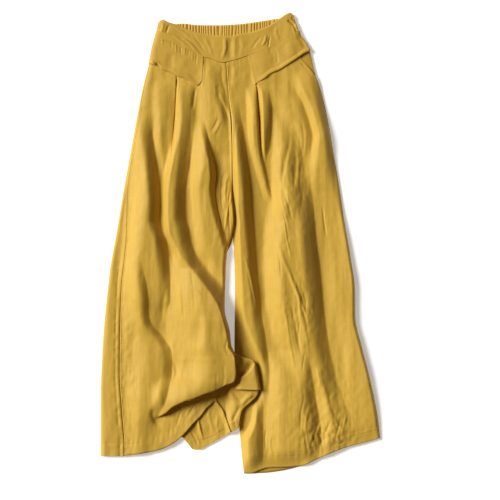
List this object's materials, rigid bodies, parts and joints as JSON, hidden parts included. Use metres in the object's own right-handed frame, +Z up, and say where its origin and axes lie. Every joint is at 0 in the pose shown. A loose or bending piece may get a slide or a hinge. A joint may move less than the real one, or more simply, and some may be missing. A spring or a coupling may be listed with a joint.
{
  "type": "palazzo pants",
  "caption": "Wide-leg linen trousers laid flat, with a smooth front waistband, gathered elastic back waistband, hip flaps, pleats and one hem turned over",
  "frame": {"origin": "middle of the garment's bounding box, on the surface it lies on", "axes": "+Y toward the waist, +X toward the wearer's left, +Z up from the surface"},
  "size_m": [0.6149, 1.0121, 0.0503],
  "materials": {
    "linen": "mustard-yellow slub linen, matt",
    "linen_band": "mustard-yellow linen, double layer, matt",
    "linen_back": "mustard-yellow linen, back and inside, matt"
  },
  "bodies": {
    "root": {"front_leg_right": "linen", "front_leg_left": "linen", "back_leg_right": "linen_back", "back_leg_left": "linen_back", "front_waistband": "linen_band", "back_waistband": "linen_band", "right_hip_flap": "linen_band", "left_hip_flap": "linen_band", "left_pocket_side": "linen_back"}
  },
  "joints": []
}
